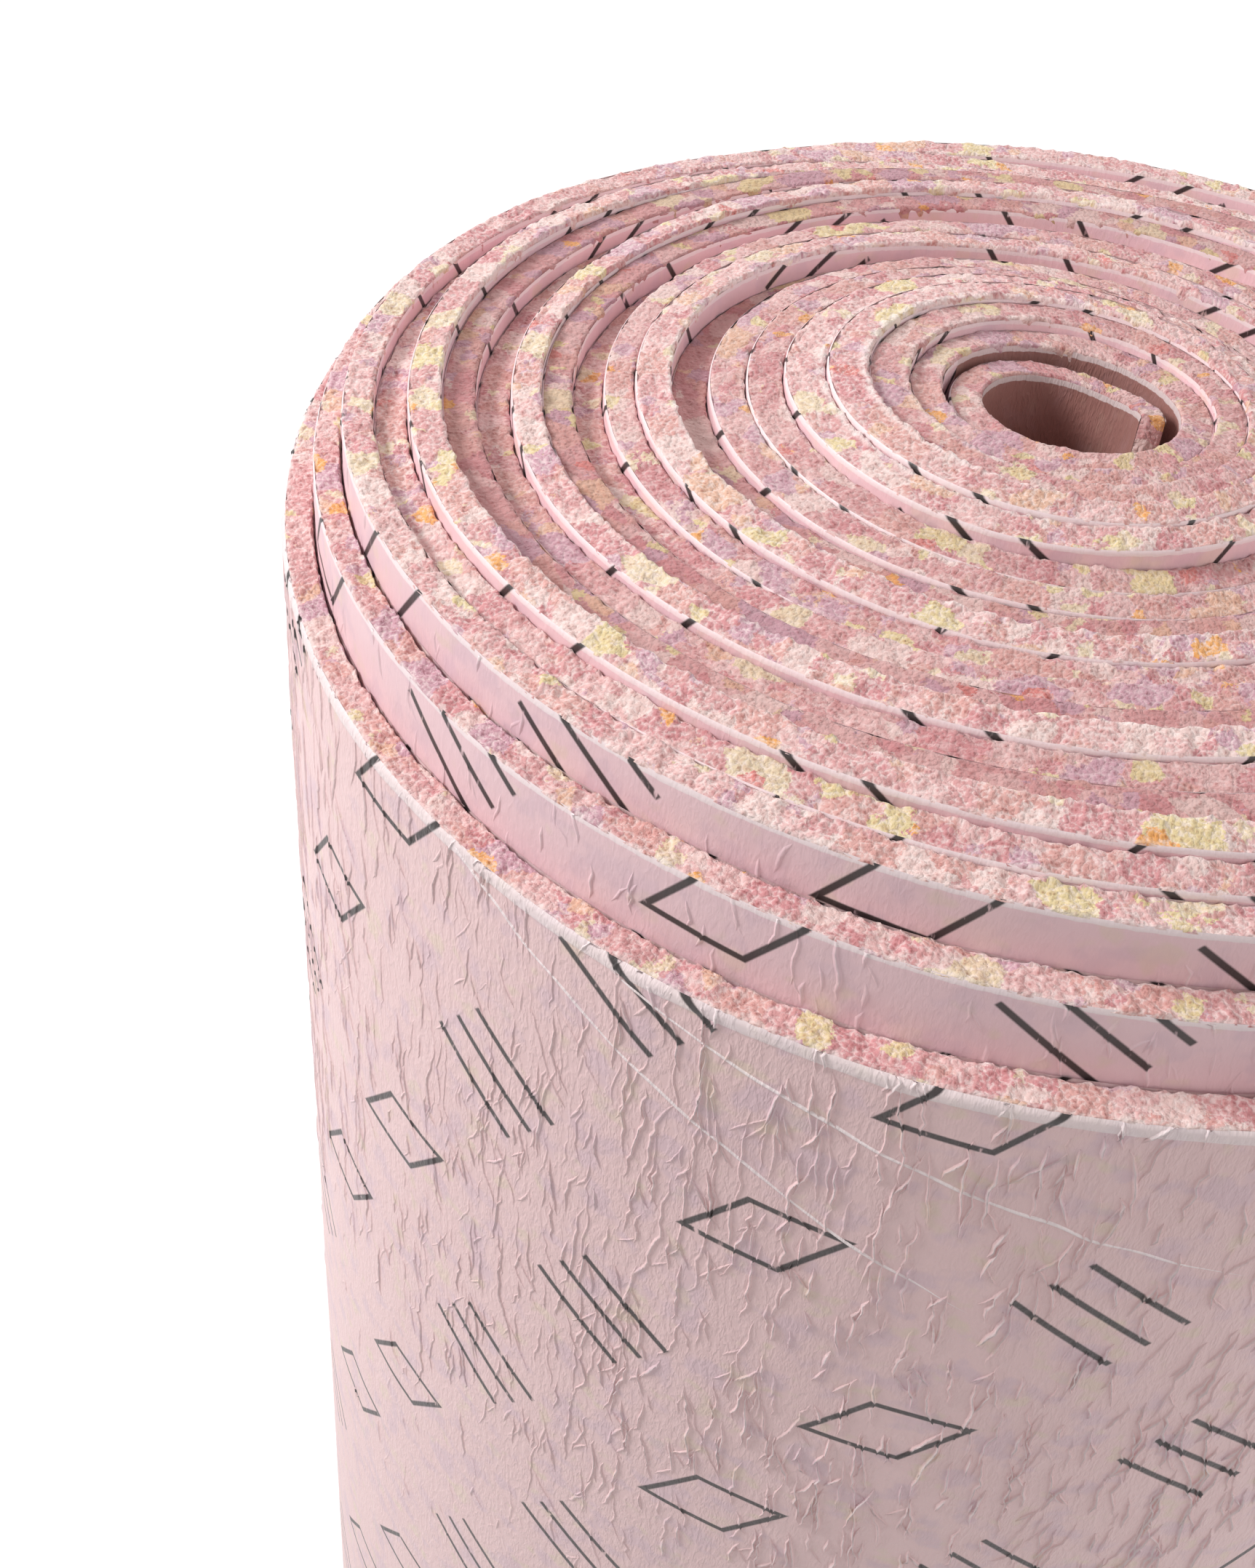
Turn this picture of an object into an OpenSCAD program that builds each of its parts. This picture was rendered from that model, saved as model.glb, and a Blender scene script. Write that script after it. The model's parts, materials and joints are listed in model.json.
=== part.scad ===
// A roll of chip-foam flooring underlay, standing on one end.
// The sheet is wound round an open bore, and its turns show as stepped rings on both ends.
// The origin is on the roll's axis, level with the face that the roll stands on. +Z is up.

/* [Sheet] */
// Width of the sheet, which is the length of the roll
sheet_w = 1370; // [400:10:2000]
// Thickness of the foam sheet as it is wound, a little under its free thickness
sheet_t = 7.2; // [4:0.1:15]

/* [Roll] */
// Diameter of the open bore
bore_d = 29; // [16:1:120]
// Number of turns round the bore
turns = 20; // [5:1:40]
// Air left between one turn and the next
turn_gap = 0.2; // [0:0.1:2]

/* [Ends] */
// Height by which the inner turns stand above the outermost one
core_rise = 24; // [0:1:40]
// Number of turns over which that height is reached
rise_turns = 2; // [1:1:4]
// Drop of the other inner turns below those that stand at full height
stagger = 3; // [0:0.5:8]
// One inner turn in this many stands at full height
step_every = 3; // [2:1:5]
// Width of the groove where two turns meet
groove_w = 0.8; // [0.4:0.1:1.2]
// Depth of that groove below the lower of the two turns
groove_depth = 6; // [1:0.5:20]
// Bevel along the edges of each turn
edge_ease = 0.8; // [0.2:0.1:1.2]

/* [Hidden] */
$fn = 128;
pitch = sheet_t + turn_gap;
bore_r = bore_d / 2;

// Inner radius of a turn, counted from 0 at the bore
function turn_r(k) = bore_r + k * pitch;

// Height of a turn's lower end, counted from the outermost turn inwards
function rise_from_outside(n) =
    n < rise_turns ? core_rise * n / rise_turns :
    core_rise - (n % step_every == 1 ? 0 : stagger);
function turn_bottom(k) = rise_from_outside(turns - 1 - k);
function turn_top(k) = turn_bottom(k) + sheet_w;

// The sides of a turn's section, set back by half a groove where it has a neighbour
function inner_side(k) = turn_r(k) + (k > 0 ? groove_w / 2 : 0);
function outer_side(k) = turn_r(k + 1) - (k < turns - 1 ? groove_w / 2 : 0);

// Bevel at a side of a turn: the wall of the bore keeps its square edge
function inner_ease(k) = k > 0 ? edge_ease : 0;

// Floors of the grooves between turn k and the next one out, at each end
function top_floor(k) = min(turn_top(k), turn_top(k + 1)) - groove_depth;
function bottom_floor(k) = max(turn_bottom(k), turn_bottom(k + 1)) + groove_depth;

// Outline of one turn's upper end, from its inner side to its outer side
function top_points(k) = concat(
    k > 0 ? [[inner_side(k), top_floor(k - 1)], [inner_side(k), turn_top(k) - edge_ease]] : [],
    [
        [inner_side(k) + inner_ease(k), turn_top(k)],
        [outer_side(k) - edge_ease, turn_top(k)],
        [outer_side(k), turn_top(k) - edge_ease],
    ],
    k < turns - 1 ? [[outer_side(k), top_floor(k)]] : []
);

// Outline of one turn's lower end, from its outer side to its inner side
function bottom_points(k) = concat(
    k < turns - 1 ? [[outer_side(k), bottom_floor(k)]] : [],
    [
        [outer_side(k), turn_bottom(k) + edge_ease],
        [outer_side(k) - edge_ease, turn_bottom(k)],
        [inner_side(k) + inner_ease(k), turn_bottom(k)],
    ],
    k > 0 ? [[inner_side(k), turn_bottom(k) + edge_ease], [inner_side(k), bottom_floor(k - 1)]] : []
);

// The wound sheet: one turned solid with its bore
module underlay_roll() {
    color("pink")
        rotate_extrude()
            polygon(concat(
                [for (k = [0 : turns - 1]) each top_points(k)],
                [for (k = [turns - 1 : -1 : 0]) each bottom_points(k)]
            ));
}

underlay_roll();
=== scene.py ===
"""Foam flooring underlay roll: the wound sheet, its crumbly ends and its crinkled film, in the CAD frame."""
import json
import math

import bpy
import numpy as np
from mathutils import Matrix, Vector


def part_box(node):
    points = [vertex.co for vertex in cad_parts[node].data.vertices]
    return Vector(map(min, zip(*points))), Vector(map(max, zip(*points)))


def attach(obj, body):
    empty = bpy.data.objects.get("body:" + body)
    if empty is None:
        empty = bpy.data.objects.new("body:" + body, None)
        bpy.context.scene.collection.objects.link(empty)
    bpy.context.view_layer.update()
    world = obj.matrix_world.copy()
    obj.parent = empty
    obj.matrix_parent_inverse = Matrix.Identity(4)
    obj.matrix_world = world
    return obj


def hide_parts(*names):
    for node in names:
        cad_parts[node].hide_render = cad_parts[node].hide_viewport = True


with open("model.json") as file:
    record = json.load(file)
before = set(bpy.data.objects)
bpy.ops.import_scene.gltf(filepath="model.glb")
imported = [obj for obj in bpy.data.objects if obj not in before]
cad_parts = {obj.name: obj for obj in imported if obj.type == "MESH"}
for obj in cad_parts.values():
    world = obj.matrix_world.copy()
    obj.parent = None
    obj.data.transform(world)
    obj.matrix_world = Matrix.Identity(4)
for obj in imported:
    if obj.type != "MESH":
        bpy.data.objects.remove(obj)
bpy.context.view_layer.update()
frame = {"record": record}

MM = 0.001
NODE = "underlay_roll"
BODY = "root"

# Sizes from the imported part
bore_mount = next(m for m in frame["record"]["mounts"] if m["name"] == "bore")
OUTER_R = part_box(NODE)[1].x
SHEET_W = bore_mount["dims"]["length_mm"] * MM
BORE_R = bore_mount["dims"]["r_mm"] * MM

# The wound sheet: turns are counted from its outer end, angles run anticlockwise seen from above
FRONT = math.radians(270)
END_ANGLE = math.radians(345)
INNER_END_ANGLE = math.radians(5)
WHOLE_TURNS = 19
TURNS = WHOLE_TURNS + (END_ANGLE - INNER_END_ANGLE) / math.tau
FOAM_T = 7.2 * MM
FOAM_MIN = 5.5 * MM
FOAM_MAX = 8.6 * MM
TURN_GAP = 0.25 * MM
FILM_OFF = 0.05 * MM
END_PROUD = 1.5 * MM
END_R = OUTER_R + END_PROUD
SLACK = 1.0 * MM
SLACK_TURNS = 2.0
SLACK_BLEND = 0.2
BORE_SPARE = 0.3 * MM
INNER_R = BORE_R + BORE_SPARE
PITCH = (END_R - SLACK * SLACK_TURNS - FOAM_T - INNER_R) / TURNS

# How far the turns sit off centre, in mm at some turns, and how tight and loose the last ones are
SHIFT_TURNS = (0.0, 2.5, 4.5, 7.5, 11.5, 15.5, 17.5, 19.5)
SHIFT_X = (0.0, -4.3, -5.5, -6.4, -10.0, -8.5, -5.5, -3.3)
SHIFT_Y = (0.0, -1.8, -2.1, -2.0, -2.4, -1.0, -0.8, -0.5)
TIGHT_CORE = 0.6 * MM
TIGHT_TURNS = 3.0
LOOSE_END = 5.0 * MM
LOOSE_TURNS = 0.43
LOOSE_RETURN = 2.0 * MM
LOOSE_PINCH = 0.25
CORE_T = 6.6 * MM
CORE_TURNS = 2
CORE_BLEND = 0.3

# Height of each turn's upper edge above the outermost turn's front, in mm, at the front, left and back
RISE_FRONT = (
    0, 16.2, 27.3, 28.2, 30.8, 29.0, 28.0, 29.3, 27.3, 26.6,
    25.2, 26.4, 24.0, 24.4, 24.4, 28.5, 29.6, 28.8, 27.8, 26.8,
)
RISE_LEFT = (
    1.7, 12, 19.4, 15.5, 22.1, 20, 16.5, 21.6, 20.7, 16.5,
    22, 23.3, 19, 23, 24, 26, 28, 27, 25.5, 23.5,
)
RISE_BACK = (
    6, 2.5, 8, 5, 12, 15.5, 12.5, 20, 18.6, 13.5,
    18.5, 18.5, 14, 19, 20, 23, 25, 24.5, 22.8, 21,
)
RISE_BLEND = 0.12
DRIFT = 0.5
DRIFT_LENGTH = 45 * MM
DRIFT_SEED = 3
FOOT_FROM = 0.9
FOOT_BLEND = 0.2

# How torn and fluffy each turn's upper end is; the others are cut smooth, and the less torn a turn is the
# more painted shade and the fewer painted highlights it gets
TORN_AND_LIT = (1, 1, 1, 1, 1, 0.1, 0.5, 1, 0.1, 0.6, 0.6, 1, 0.1, 0.6, 0.6, 1, 1, 0.5, 0.5, 0.4)

# Places along the sheet: the camera is near the front and left, less near the back left
SAMPLES_PER_TURN = 6000
BACK_FROM, LEFT_FROM, FRONT_TO = 75, 180, 300
CORE_SHARE = 0.45

# Camera, fitted to the photo: distances in outer radii, angles in radians
PHOTO_H = 2156
FOCAL_PX = 2767.5
CAMERA_DISTANCE = 2.68338
CAMERA_LIFT = 0.576488
CAMERA_PAN = -0.176631
CAMERA_TILT = -0.180583
CAMERA_ROLL = 0.223672
SENSOR = 36.0
CLIP_START = 0.01


# Noise and winding

def smooth(x):
    """Eased step from 0 to 1."""
    x = np.clip(x, 0, 1)
    return x * x * (3 - 2 * x)


def lattice(ix, iy, iz, seed):
    """Repeatable random numbers from 0 to 1 at whole-number points."""
    h = (ix * 374761393 + iy * 668265263 + iz * 1440662683 + seed * 974634777) & 0xFFFFFFFF
    h = ((h ^ (h >> 13)) * 1274126177) & 0xFFFFFFFF
    h = ((h ^ (h >> 15)) * 668265263) & 0xFFFFFFFF
    return ((h ^ (h >> 16)) & 0xFFFFFF) / 0xFFFFFF


def noise(points, size, seed):
    """Value noise from -1 to 1; size is a feature's width, one number or one for each axis."""
    q = points / np.asarray(size)
    cell = np.floor(q)
    part = smooth(q - cell)
    cell = cell.astype(np.int64)
    total = 0
    for dx in (0, 1):
        wx = part[..., 0] if dx else 1 - part[..., 0]
        for dy in (0, 1):
            wy = part[..., 1] if dy else 1 - part[..., 1]
            for dz in (0, 1):
                wz = part[..., 2] if dz else 1 - part[..., 2]
                corner = lattice(cell[..., 0] + dx, cell[..., 1] + dy, cell[..., 2] + dz, seed)
                total = total + wx * wy * wz * corner
    return total * 2 - 1


def line_noise(x, size, seed):
    """Value noise along one axis."""
    return noise(np.stack([x, x * 0, x * 0], -1), size, seed)


def angle_at(v):
    return END_ANGLE - math.tau * v


def loosened(v):
    """How far the sheet has come away from the turn round it, near its inner end."""
    return smooth((v - TURNS + LOOSE_TURNS) * 2 / LOOSE_TURNS)


def outer_radius(v):
    """Radius of the sheet's outer face, v turns in from its outer end."""
    angle = angle_at(v)
    radius = END_R - PITCH * v - SLACK * np.minimum(v, SLACK_TURNS)
    radius = radius + np.interp(v, SHIFT_TURNS, SHIFT_X) * MM * np.cos(angle)
    radius = radius + np.interp(v, SHIFT_TURNS, SHIFT_Y) * MM * np.sin(angle)
    radius = radius - TIGHT_CORE * smooth((v - TURNS + TIGHT_TURNS) / TIGHT_TURNS)
    radius = radius - LOOSE_END * loosened(v)
    return radius + LOOSE_RETURN * smooth((v - TURNS + LOOSE_TURNS / 2) * 2 / LOOSE_TURNS)


def length_at(v):
    """Length of sheet, along its outer face, from its outer end."""
    return math.tau * (END_R * v - PITCH * v * v / 2)


def turn_at(s):
    """The turn at a length of sheet from its outer end."""
    return (END_R - np.sqrt(END_R ** 2 - PITCH * s / math.pi)) / PITCH


def by_turn(values, v):
    """A value for each turn, eased from one turn to the next."""
    values = np.array(values, float)
    turn = np.floor(v + RISE_BLEND).astype(int)
    part = smooth((v - turn + RISE_BLEND) / (2 * RISE_BLEND))
    before, after = np.clip(turn - 1, 0, len(values) - 1), np.clip(turn, 0, len(values) - 1)
    return values[before] + (values[after] - values[before]) * part


def rise(v):
    """Height of the sheet's upper edge above the outermost turn's front edge."""
    front, left, back = by_turn(RISE_FRONT, v), by_turn(RISE_LEFT, v), by_turn(RISE_BACK, v)
    middle = (front + back) / 2
    level = middle + (front - back) / 2 * np.cos(angle_at(v) - FRONT)
    level = level + (middle - left) * np.cos(angle_at(v))
    drift = line_noise(length_at(v), DRIFT_LENGTH, DRIFT_SEED) * DRIFT * smooth(v * 2)
    return (level + drift) * MM


def foot(v):
    """Height of the sheet's lower edge: the outer turn stands on the floor, the others are drawn up."""
    return np.maximum(rise(v), 0) * smooth((v - FOOT_FROM) / FOOT_BLEND)


def slackened(v):
    """0 on the loose outer turns, 1 on the others."""
    return smooth((v - SLACK_TURNS + SLACK_BLEND) / SLACK_BLEND)


def thickness(v):
    """Foam thickness: what the next turn leaves room for, pinched towards the inner end."""
    room = outer_radius(v) - outer_radius(np.minimum(v + 1, TURNS)) - TURN_GAP
    most = FOAM_T + (FOAM_MAX - FOAM_T) * slackened(v)
    most = most - (FOAM_MAX - CORE_T) * smooth((v - TURNS + CORE_TURNS) / CORE_BLEND)
    room = np.where(v > TURNS - 1, CORE_T, np.clip(room, FOAM_MIN, most))
    return room * (1 - LOOSE_PINCH * loosened(v))


def stations(v0, v1, fine, medium, coarse, core=None):
    """Places along the sheet, closer together where the camera is near; the steps are in mm."""
    v = np.linspace(v0, v1, int(SAMPLES_PER_TURN * (v1 - v0)) + 2)
    degrees = np.degrees(angle_at(v)) % 360
    step = np.full_like(v, coarse * MM)
    step[(degrees > BACK_FROM) & (degrees < LEFT_FROM)] = medium * MM
    step[(degrees >= LEFT_FROM) & (degrees < FRONT_TO)] = fine * MM
    step[outer_radius(v) < CORE_SHARE * OUTER_R] = (core or fine) * MM
    advance = np.diff(length_at(v)) / step[:-1]
    count = np.concatenate([[0], np.cumsum(advance)])
    return np.interp(np.linspace(0, count[-1], int(count[-1]) + 2), count, v)


def place(v, radius, z):
    """Points in the frame from arrays of turn, radius and height."""
    angle = angle_at(v)
    return np.stack([radius * np.cos(angle), radius * np.sin(angle), z], -1)


# Meshes

def grid_faces(count, rows, flip=False, closed=False):
    """Four-sided faces of a grid of points, closed from its last row to its first if asked."""
    index = np.arange(count * rows).reshape(count, rows)
    if closed:
        index = np.concatenate([index, index[:, :1]], 1)
    a, b = index[:-1, :-1], index[1:, :-1]
    c, d = index[1:, 1:], index[:-1, 1:]
    quads = np.stack([a, b, c, d], -1).reshape(-1, 4)
    return quads[:, ::-1] if flip else quads


def end_caps(count, rows, which=("start", "end")):
    """Faces that close the first and the last section of a grid of points."""
    sections = {"start": np.arange(rows), "end": (count - 1) * rows + np.arange(rows)[::-1]}
    return [sections[name] for name in which]


def make_mesh(name, points, quads, caps):
    """A mesh from points, four-sided faces and caps."""
    loops = [quads.ravel()]
    starts = [np.arange(len(quads)) * 4]
    filled = len(quads) * 4
    for cap in caps:
        loops.append(cap)
        starts.append(np.array([filled]))
        filled += len(cap)
    loops, starts = np.concatenate(loops), np.concatenate(starts)
    mesh = bpy.data.meshes.new(name)
    mesh.vertices.add(points.size // 3)
    mesh.vertices.foreach_set("co", points.astype(np.float32).ravel())
    mesh.loops.add(len(loops))
    mesh.loops.foreach_set("vertex_index", loops.astype(np.int32))
    mesh.polygons.add(len(starts))
    mesh.polygons.foreach_set("loop_start", starts.astype(np.int32))
    mesh.update(calc_edges=True)
    mesh.validate()
    return mesh


def make_piece(name, points, sheet, quads, material, caps=(), torn_and_lit=None):
    """A visible piece, with the sheet's own coordinates stored on its mesh."""
    mesh = make_mesh(name, points, quads, caps)
    stored = mesh.attributes.new("sheet", "FLOAT_VECTOR", "POINT")
    stored.data.foreach_set("vector", sheet.astype(np.float32).ravel())
    if torn_and_lit is not None:
        stored = mesh.attributes.new("torn_and_lit", "FLOAT", "POINT")
        stored.data.foreach_set("value", torn_and_lit.astype(np.float32).ravel())
    mesh.shade_smooth()
    mesh.materials.append(material)
    piece = bpy.data.objects.new(name, mesh)
    bpy.context.scene.collection.objects.link(piece)
    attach(piece, BODY)
    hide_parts(NODE)
    return piece


# Foam: rows down a side as distance in from the face and depth, then lifts and edges, all in mm
SIDE_ROWS = ((0.0, 30.0), (0.0, 9.0), (0.0, 3.5), (0.02, 1.4), (0.08, 0.45), (0.4, 0.08))
TOP_STEP = 0.62
TOP_DEPTH = 1.5
CHIP_LIFT, CHIP_SIZE, CHIP_SEED = 0.32, 4.2, 11
CRUMB_LIFT, CRUMB_SIZE, CRUMB_SEED = 0.32, 1.7, 12
GRAIN_LIFT, GRAIN_SIZE, GRAIN_SEED = 0.36, 0.95, 13
SMOOTH_CUT = 0.5

# The edges of the foam's end: where they begin across half the sheet, their fluff, slope and raggedness
EDGE_FROM, EDGE_SHARE = 0.7, 0.3
EDGE_CALM = 0.3
EDGE_LIFT, EDGE_SIZE, EDGE_SEED = 0.7, 1.05, 16
EDGE_MORE = 1.6
TOP_SLOPE = 0.95
LIP = 0.2
SLOPE_FROM, SLOPE_BLEND = 0.6, 0.4
RAGGED, RAGGED_SIZE, RAGGED_SEED = 0.4, 2.4, 14
RAGGED_FINE, FINE_SIZE, FINE_SEED = 0.32, 1.2, 15
OUTER_RAGGED = 0.15
FREE_EDGE = 0.5
BORE_FROM, BORE_BLEND = 1.1, 0.1
BORE_CALM = 0.7

# Groups of turns, as name, first and last turn and step in mm
FOAM_GROUPS = (
    ("foam_end_outer", 0.0, 3.0, 0.55),
    ("foam_end_second", 3.0, 6.5, 0.66),
    ("foam_end_third", 6.5, 11.0, 0.74),
    ("foam_end_core", 11.0, TURNS, 0.8),
)
FOAM_MEDIUM, FOAM_COARSE = 1.2, 2.2

# The body under those ends, in mm
BODY_STEP, BODY_CORE_STEP = 6.0, 3.0
BODY_OVERLAP = 4.0
FOOT_ROWS = (6.0, 0.6)
FOOT_EDGE = 0.4
FOOT_COUNT = 9
FOOT_CHIP = 0.5
FOOT_CRUMB, FOOT_CRUMB_SIZE = 0.3, 2.0


def end_rows():
    """Rows round the sheet's upper edge, as distance in from the outer face and depth, in mm."""
    thick = FOAM_T / MM
    first, last = SIDE_ROWS[-1][0] + TOP_STEP, thick - SIDE_ROWS[-1][0] - TOP_STEP
    middle = [(w, 0.0) for w in np.linspace(first, last, int(round((last - first) / TOP_STEP)) + 1)]
    far = [(thick - w, d) for w, d in reversed(SIDE_ROWS)]
    return np.array([*SIDE_ROWS, *middle, *far])


def end_lift(sheet, side, on_edge, v, torn_and_lit):
    """How far crumbs, fluff and the slope lift the foam's end, in mm."""
    lift = CHIP_LIFT * noise(sheet, CHIP_SIZE * MM, CHIP_SEED)
    lift = lift + CRUMB_LIFT * noise(sheet, CRUMB_SIZE * MM, CRUMB_SEED)
    lift = lift + GRAIN_LIFT * noise(sheet, GRAIN_SIZE * MM, GRAIN_SEED)
    fluff = EDGE_LIFT * np.maximum(noise(sheet, EDGE_SIZE * MM, EDGE_SEED), 0) * on_edge
    fluff = fluff * np.where(side > 0, EDGE_MORE, 1)
    slope = (TOP_SLOPE * (side + 1) / 2 - LIP) * smooth((v - SLACK_TURNS - SLOPE_FROM) / SLOPE_BLEND)
    cut = SMOOTH_CUT + (1 - SMOOTH_CUT) * torn_and_lit
    return lift * (1 - EDGE_CALM * on_edge) * cut + (fluff + slope) * torn_and_lit


def end_spread(sheet, side, on_edge, v):
    """How far the edges of the foam's end lean inwards, in mm."""
    ragged = RAGGED * noise(sheet, RAGGED_SIZE * MM, RAGGED_SEED)
    ragged = ragged + RAGGED_FINE * noise(sheet, FINE_SIZE * MM, FINE_SEED)
    free = FREE_EDGE - FREE_EDGE * slackened(v)
    at_bore = smooth((v - TURNS + BORE_FROM) / BORE_BLEND)
    loose = np.where(side > 0, (ragged + free) * (1 - BORE_CALM * at_bore), OUTER_RAGGED * ragged)
    return loose * on_edge * -np.sign(side)


def foam_end(name, v0, v1, step, material, caps):
    """The crumbly upper end of some turns, with the top of their sides."""
    v = stations(v0, v1, step, FOAM_MEDIUM, FOAM_COARSE)
    across, depth = end_rows().T * MM
    shape = (len(v), len(across))
    share = across / FOAM_T
    vv = np.broadcast_to(v[:, None], shape)
    w = share[None, :] * thickness(v)[:, None]
    d = np.broadcast_to(depth[None, :], shape)
    sheet = np.stack([np.broadcast_to(length_at(v)[:, None], shape), w, -d], -1)
    torn_and_lit = np.broadcast_to(by_turn(TORN_AND_LIT, v)[:, None], shape)
    near_top = np.exp(-(d / (TOP_DEPTH * MM)) ** 2)
    side = np.clip((share - 0.5) * 2, -1, 1)
    on_edge = smooth((np.abs(side) - EDGE_FROM) / EDGE_SHARE)
    up = end_lift(sheet, side, on_edge, vv, torn_and_lit) * near_top
    inward = end_spread(sheet, side, on_edge, vv) * near_top
    radius = outer_radius(v)[:, None] - w - inward * MM
    z = SHEET_W + rise(v)[:, None] - d + up * MM
    caps = end_caps(*shape, caps)
    piece = make_piece(name, place(vv, radius, z), sheet, grid_faces(*shape), material, caps, torn_and_lit)


def body_rows():
    """Rows round the body's section: distance in from the outer face, and height above the foot or None."""
    thick = FOAM_T / MM
    under = np.linspace(FOOT_EDGE, thick - FOOT_EDGE, FOOT_COUNT)
    rows = [(0.0, None)] + [(0.0, lift) for lift in FOOT_ROWS]
    rows += [(w, 0.0) for w in under]
    return rows + [(thick, lift) for lift in reversed(FOOT_ROWS)] + [(thick, None)]


def foam_body(material):
    """The rest of the wound sheet, from just under its upper end to the floor."""
    top = (SIDE_ROWS[0][1] - BODY_OVERLAP) * MM
    v = stations(0, TURNS, BODY_STEP, BODY_STEP, BODY_STEP, BODY_CORE_STEP)
    rows = body_rows()
    shape = (len(v), len(rows))
    share = np.array([w for w, _ in rows]) / (FOAM_T / MM)
    w = share[None, :] * thickness(v)[:, None]
    z = np.zeros(shape)
    depth = np.zeros(shape)
    for i, (_, lift) in enumerate(rows):
        z[:, i] = SHEET_W + rise(v) - top if lift is None else foot(v) + lift * MM
        depth[:, i] = -top if lift is None else -SHEET_W + lift * MM
    sheet = np.stack([np.broadcast_to(length_at(v)[:, None], shape), w, depth], -1)
    crumb = FOOT_CHIP * noise(sheet, CHIP_SIZE * MM, CHIP_SEED)
    crumb = crumb + FOOT_CRUMB * noise(sheet, FOOT_CRUMB_SIZE * MM, CRUMB_SEED)
    bottom = np.array([lift is not None and lift < 1 for _, lift in rows])
    z = z + np.where(bottom[None, :], np.maximum(crumb, 0) * MM, 0)
    points = place(np.broadcast_to(v[:, None], shape), outer_radius(v)[:, None] - w, z)
    quads = grid_faces(*shape, flip=True, closed=True)
    piece = make_piece("foam_body", points, sheet, quads, material, end_caps(*shape), np.ones(shape))


# Film round the outside: the split between its pieces, its raised edge band and its soft waves
SKIN_SPLIT = 160.0 * MM
BAND = 3.0 * MM
BAND_LIFT = 0.2 * MM
BAND_SOFT = 0.5 * MM
BAND_PAST = 0.2 * MM
STRIP_BAND, BORE_BAND = 1.2 * MM, 1.6 * MM
WAVE, WAVE_SIZE, WAVE_SEED = 0.45, (26 * MM, 1, 80 * MM), 21
RIPPLE, RIPPLE_SIZE, RIPPLE_SEED = 0.2, (9 * MM, 1, 40 * MM), 22
SKIN_OFF, SKIN_WAVES = 0.3, 0.6
SKIN_EDGE, SKIN_EDGE_OFF = 0.9 * MM, 0.02 * MM
SKIN_TUCK, SKIN_TUCK_DEPTH = 0.5 * MM, 0.35 * MM
END_EASE = 10 * MM

# Film of the inner turns
STRIP_TUCK, STRIP_TUCK_DEPTH = 0.4 * MM, 0.25 * MM
STRIP_OFF, STRIP_WAVES = 0.04, 0.06
STRIP_SIZE, STRIP_SEED = (5 * MM, 1, 14 * MM), 41

# Long creases, as angle in degrees and depth in mm at both ends
CREASES = (((238.0, 0.0), (279.5, 60.0)), ((251.0, 3.0), (294.0, 40.5)))
CREASE_HIGH = 0.4 * MM
CREASE_WIDE = 0.55 * MM
CREASE_SINK = 0.04 * MM
CREASE_POINTS, CREASE_ROWS = 420, 7
CREASE_WANDER, CREASE_KINK = 0.5, 0.06
CREASE_START, CREASE_FADE = 0.06, 0.3
CREASE_EVEN, CREASE_SHIFT = 0.75, 40

# Crinkles: a ridge's section as place and height, its walk down the film, and deeper ones on the right
RIDGE = ((-1.0, 0.0), (-0.5, 0.25), (-0.1, 1.0), (0.35, 0.5), (1.0, 0.0))
RIDGE_END, RIDGE_ROUND = 0.02, 0.6
RIDGE_NARROW = 0.35
SINK = 0.05 * MM
WALK_STEP = 2.0 * MM
WALK_LEAST = 3
WALK_KINK = 0.22
WALK_LEAN = 0.1
SIZE_SPREAD = -0.2, 0.45
WIDTHS, HEIGHTS = (0.75, 1.3), (0.45, 1.1)
FORK_LEANS, FORK_SIZES = (0.3, 0.8), (0.25, 0.6)
FORK_WIDTHS, FORK_HEIGHTS = (0.7, 1.1), (0.4, 0.9)
FORKED = 0.35
DEEPER_FROM, DEEPER_FULL = 0.28, 0.18
DEEPER_MORE = 0.9


def skin_proud(s, d):
    """How far the outer film stands off the foam."""
    sheet = np.stack([s, s * 0, -d], -1)
    soft = WAVE * noise(sheet, WAVE_SIZE, WAVE_SEED) + RIPPLE * noise(sheet, RIPPLE_SIZE, RIPPLE_SEED)
    band = BAND_LIFT * smooth((BAND + BAND_PAST - d) / BAND_SOFT)
    near = np.exp(-(d / SKIN_EDGE) ** 2)
    tuck = SKIN_TUCK * np.exp(-(d / SKIN_TUCK_DEPTH) ** 2)
    proud = ((SKIN_OFF + SKIN_WAVES * soft) * MM + band) * (1 - near) + near * SKIN_EDGE_OFF
    return proud * smooth(s / END_EASE) - tuck


def strip_proud(s, d):
    """How far the film of the inner turns stands off the foam."""
    tuck = STRIP_TUCK * np.exp(-(d / STRIP_TUCK_DEPTH) ** 2)
    waves = noise(np.stack([s, s * 0, -d], -1), STRIP_SIZE, STRIP_SEED)
    return (STRIP_OFF + STRIP_WAVES * waves) * MM - tuck


def skin_height(v, d):
    """Height of the outer film above the floor at a depth below its upper edge."""
    hung = SHEET_W + rise(v) - d
    low = smooth((d - SKIN_SPLIT) / (SHEET_W - SKIN_SPLIT))
    return hung + (foot(v) + SHEET_W - d - hung) * low


def strip_height(v, d):
    """Height of the inner turns' film above the floor at a depth below its upper edge."""
    return SHEET_W + rise(v) - d


def walk(rng, start, lean, size):
    """A kinked line down the film from a starting point."""
    count = max(WALK_LEAST, int(size / WALK_STEP))
    leans = lean + rng.normal(0, WALK_KINK, count)
    steps = np.stack([leans, np.ones(count)], -1)
    steps = steps * WALK_STEP / np.linalg.norm(steps, axis=1)[:, None]
    return np.concatenate([[start], start + np.cumsum(steps, 0)])


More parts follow.
